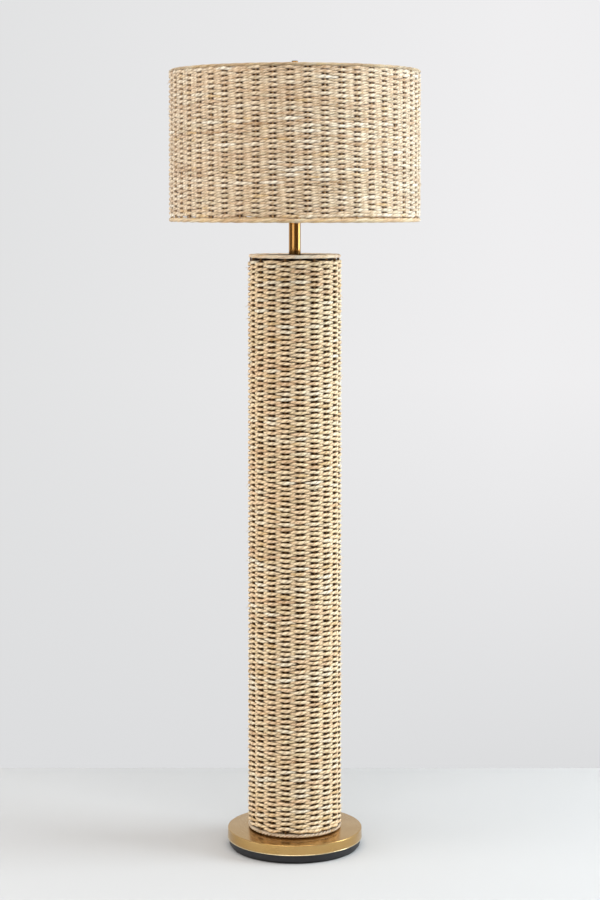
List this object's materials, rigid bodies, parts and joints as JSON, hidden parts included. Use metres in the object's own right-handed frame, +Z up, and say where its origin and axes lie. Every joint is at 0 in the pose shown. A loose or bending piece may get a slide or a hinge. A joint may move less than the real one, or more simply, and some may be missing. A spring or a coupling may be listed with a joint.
{
  "type": "floor lamp",
  "caption": "Floor lamp with a woven rattan column on a round brass-covered base, a short brass neck and a woven drum shade held by a harp.",
  "frame": {"origin": "middle of the underside of the base pad, on the floor", "axes": "+Z up along the column, -Y to the front, where the switch key points, +X to the right seen from the front"},
  "size_m": [0.508, 0.5078, 1.5843],
  "materials": {
    "brass": "satin lacquered brass",
    "black_iron": "black powder coat",
    "felt": "black felt",
    "steel": "zinc plated",
    "rattan": "natural twisted plant fibre, woven",
    "painted_wire": "straw coloured paint",
    "phenolic": "dark moulded plastic",
    "paper": "insulating paper",
    "white_plastic": "white moulded plastic",
    "frosted": "frosted diffuser"
  },
  "bodies": {
    "stand": {"base_pad": "felt", "base_weight": "black_iron", "base_cover": "brass", "base_washer": "steel", "base_nut": "steel", "center_pipe": "steel", "cord_bushing": "phenolic", "column_bottom_plate": "painted_wire", "column_top_plate": "painted_wire", "column_top_nut": "steel", "column_cage": "painted_wire", "column_weave": "rattan", "column_rim_wrap": "rattan", "column_foot_wrap": "rattan", "neck_tube": "brass", "neck_cap": "brass", "harp_saddle": "brass", "saddle_lock_nut": "steel", "harp_bow": "brass", "socket_cap": "brass", "socket_cap_screw": "steel", "socket_shell": "brass", "socket_liner": "paper", "socket_body": "phenolic", "terminal_screw_left": "brass", "terminal_screw_right": "steel", "screw_shell": "brass", "center_contact": "brass"},
    "switch": {"switch_shaft": "steel", "switch_key": "brass"},
    "ferrule_left": {"harp_ferrule_left": "brass"},
    "ferrule_right": {"harp_ferrule_right": "brass"},
    "bulb": {"bulb_tip": "steel", "bulb_insulator": "phenolic", "bulb_cap": "steel", "bulb_body": "white_plastic", "bulb_globe": "frosted"},
    "shade": {"harp_stud": "brass", "shade_spider": "painted_wire", "shade_frame": "painted_wire", "shade_weave": "rattan", "shade_rim_wrap": "rattan", "shade_foot_wrap": "rattan"},
    "finial": {"finial": "brass"}
  },
  "joints": [
    {"name": "switch_turn", "type": "hinge", "parent": "stand", "child": "switch", "pos_m": [0, -0.024, 1.3613], "axis": [0, -1, 0], "continuous": true},
    {"name": "ferrule_left_lift", "type": "slide", "parent": "stand", "child": "ferrule_left", "axis": [0, 0, 1], "range_m": [0, 0.013]},
    {"name": "ferrule_right_lift", "type": "slide", "parent": "stand", "child": "ferrule_right", "axis": [0, 0, 1], "range_m": [0, 0.013]},
    {"name": "bulb_turn", "type": "hinge", "parent": "stand", "child": "bulb", "pos_m": [0, 0, 1.4], "axis": [0, 0, 1], "continuous": true},
    {"name": "shade_turn", "type": "hinge", "parent": "stand", "child": "shade", "pos_m": [0, 0, 1.5534], "axis": [0, 0, 1], "continuous": true},
    {"name": "finial_turn", "type": "hinge", "parent": "shade", "child": "finial", "pos_m": [0, 0, 1.56], "axis": [0, 0, 1], "continuous": true}
  ]
}
